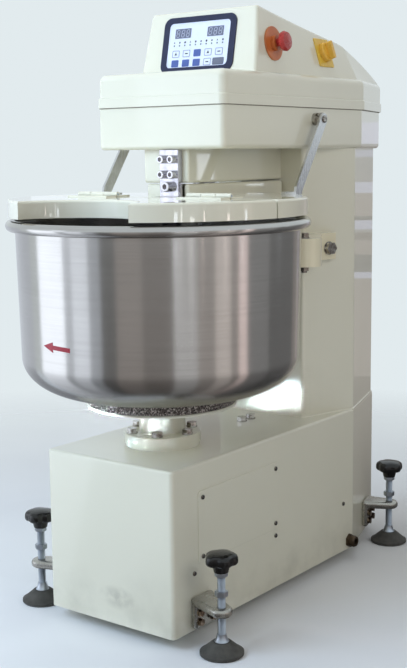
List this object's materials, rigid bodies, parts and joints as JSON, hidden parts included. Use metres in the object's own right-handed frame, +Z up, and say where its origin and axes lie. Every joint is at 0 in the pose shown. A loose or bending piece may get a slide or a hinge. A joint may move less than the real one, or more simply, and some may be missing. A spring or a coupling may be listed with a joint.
{
  "type": "spiral dough mixer",
  "caption": "Floor-standing spiral dough mixer: a turning bowl on a low base, a column and head that carry a spiral hook and breaker bar, a hinged bowl lid and screw feet.",
  "frame": {"origin": "on the floor, under the middle of the overall length and width", "axes": "+Z up, -Y towards the front where the bowl and control panel face, +X towards the right side with the stop button"},
  "size_m": [0.6, 1.024, 1.2171],
  "materials": {
    "ivory_paint": "gloss",
    "stainless": "vertical brushed satin",
    "zinc": "bright zinc",
    "bearing_steel": "ground",
    "ring_steel": "rough, pitted",
    "cast_grey": "rough casting",
    "motor_grey": "satin",
    "belt_rubber": "matt",
    "roller_nylon": "satin",
    "knob_black": "gloss",
    "pad_rubber": "matt",
    "gland_black": "satin",
    "panel_navy": "satin",
    "panel_face": "satin film",
    "signal_yellow": "gloss",
    "signal_red": "gloss"
  },
  "bodies": {
    "frame": {"base_shell": "ivory_paint", "base_floor": "ivory_paint", "access_cover": "ivory_paint", "column_shell": "ivory_paint", "rear_cover": "ivory_paint", "arm_casting": "ivory_paint", "head_housing": "ivory_paint", "head_cover": "ivory_paint", "lid_rear": "ivory_paint", "hub_housing": "ivory_paint", "roller_arms": "ivory_paint", "lid_hinge_leaves": "ivory_paint", "breaker_bar": "stainless", "lid_stays": "stainless", "panel_screws": "zinc", "breaker_screws": "zinc", "hex_bolts": "zinc", "roller_axles": "zinc", "lid_hinge_pins": "zinc", "motor_shelf": "zinc", "ball_bearings": "bearing_steel", "foot_brackets": "cast_grey", "bowl_motor": "motor_grey", "main_motor": "motor_grey", "bowl_belts": "belt_rubber", "main_belts": "belt_rubber", "cable_gland": "gland_black", "control_panel": "panel_navy", "keypad": "panel_face", "estop_plate": "signal_yellow", "isolator_plate": "signal_yellow"},
    "bowl": {"bowl": "stainless", "bowl_foot_ring": "ring_steel", "turntable": "ivory_paint", "bowl_shaft": "bearing_steel", "bowl_pulley": "cast_grey"},
    "spiral": {"spiral_hook": "stainless", "spiral_shaft": "bearing_steel", "spiral_pulley": "cast_grey"},
    "bowl_rotor": {"bowl_motor_rotor": "cast_grey"},
    "main_rotor": {"main_motor_rotor": "cast_grey"},
    "roller_left": {"guide_roller_left": "roller_nylon"},
    "roller_right": {"guide_roller_right": "roller_nylon"},
    "lid_front": {"lid_flap": "ivory_paint", "lid_flap_leaves": "ivory_paint"},
    "stop_button": {"estop_button": "signal_red"},
    "isolator": {"isolator_knob": "signal_yellow"},
    "pad_front_left": {"foot_pad_front_left": "pad_rubber"},
    "screw_front_left": {"foot_screw_front_left": "zinc", "foot_knob_front_left": "knob_black"},
    "pad_front_right": {"foot_pad_front_right": "pad_rubber"},
    "screw_front_right": {"foot_screw_front_right": "zinc", "foot_knob_front_right": "knob_black"},
    "pad_rear_left": {"foot_pad_rear_left": "pad_rubber"},
    "screw_rear_left": {"foot_screw_rear_left": "zinc", "foot_knob_rear_left": "knob_black"},
    "pad_rear_right": {"foot_pad_rear_right": "pad_rubber"},
    "screw_rear_right": {"foot_screw_rear_right": "zinc", "foot_knob_rear_right": "knob_black"}
  },
  "joints": [
    {"name": "bowl_spin", "type": "hinge", "parent": "frame", "child": "bowl", "pos_m": [0, -0.212, 0.4], "axis": [0, 0, 1], "continuous": true},
    {"name": "spiral_spin", "type": "hinge", "parent": "frame", "child": "spiral", "pos_m": [0, -0.062, 0.9], "axis": [0, 0, 1], "continuous": true},
    {"name": "bowl_motor_spin", "type": "hinge", "parent": "frame", "child": "bowl_rotor", "pos_m": [0, 0.056, 0.3], "axis": [0, 0, 1], "continuous": true},
    {"name": "main_motor_spin", "type": "hinge", "parent": "frame", "child": "main_rotor", "pos_m": [0, 0.34, 0.95], "axis": [0, 0, 1], "continuous": true},
    {"name": "roller_left_spin", "type": "hinge", "parent": "frame", "child": "roller_left", "pos_m": [-0.178, 0.042, 0.723], "axis": [0, 0, 1], "continuous": true},
    {"name": "roller_right_spin", "type": "hinge", "parent": "frame", "child": "roller_right", "pos_m": [0.178, 0.042, 0.723], "axis": [0, 0, 1], "continuous": true},
    {"name": "lid_swing", "type": "hinge", "parent": "frame", "child": "lid_front", "pos_m": [0, -0.232, 0.851], "axis": [-1, 0, 0], "range_deg": [0, 95]},
    {"name": "stop_push", "type": "slide", "parent": "frame", "child": "stop_button", "axis": [-0.9916, -0.0611, -0.1139], "range_m": [0, 0.004], "stiffness_N_per_m": 2500},
    {"name": "isolator_turn", "type": "hinge", "parent": "frame", "child": "isolator", "pos_m": [0.12754, 0.196, 1.139], "axis": [0.953, 0.0533, 0.2982], "range_deg": [-90, 0]},
    {"name": "foot_front_left_lift", "type": "slide", "parent": "frame", "child": "pad_front_left", "axis": [0, 0, 1], "range_m": [-0.0115, 0.0255]},
    {"name": "foot_front_left_turn", "type": "hinge", "parent": "pad_front_left", "child": "screw_front_left", "pos_m": [-0.234, -0.333, 0.1], "axis": [0, 0, 1], "range_deg": [-1800, 4320]},
    {"name": "foot_front_right_lift", "type": "slide", "parent": "frame", "child": "pad_front_right", "axis": [0, 0, 1], "range_m": [-0.0115, 0.0255]},
    {"name": "foot_front_right_turn", "type": "hinge", "parent": "pad_front_right", "child": "screw_front_right", "pos_m": [0.234, -0.333, 0.1], "axis": [0, 0, 1], "range_deg": [-1800, 4320]},
    {"name": "foot_rear_left_lift", "type": "slide", "parent": "frame", "child": "pad_rear_left", "axis": [0, 0, 1], "range_m": [-0.0115, 0.0255]},
    {"name": "foot_rear_left_turn", "type": "hinge", "parent": "pad_rear_left", "child": "screw_rear_left", "pos_m": [-0.17565, 0.42898, 0.1], "axis": [0, 0, 1], "range_deg": [-1800, 4320]},
    {"name": "foot_rear_right_lift", "type": "slide", "parent": "frame", "child": "pad_rear_right", "axis": [0, 0, 1], "range_m": [-0.0115, 0.0255]},
    {"name": "foot_rear_right_turn", "type": "hinge", "parent": "pad_rear_right", "child": "screw_rear_right", "pos_m": [0.17565, 0.42898, 0.1], "axis": [0, 0, 1], "range_deg": [-1800, 4320]}
  ],
  "couplings": [
    {"joint": "bowl_motor_spin", "follows": "bowl_spin", "ratio": 2.7778},
    {"joint": "roller_left_spin", "follows": "bowl_spin", "ratio": -9.5238},
    {"joint": "roller_right_spin", "follows": "bowl_spin", "ratio": -9.5238},
    {"joint": "main_motor_spin", "follows": "spiral_spin", "ratio": 3},
    {"joint": "foot_front_left_lift", "follows": "foot_front_left_turn", "m_per_rad": 0.00031831},
    {"joint": "foot_front_right_lift", "follows": "foot_front_right_turn", "m_per_rad": 0.00031831},
    {"joint": "foot_rear_left_lift", "follows": "foot_rear_left_turn", "m_per_rad": 0.00031831},
    {"joint": "foot_rear_right_lift", "follows": "foot_rear_right_turn", "m_per_rad": 0.00031831}
  ]
}
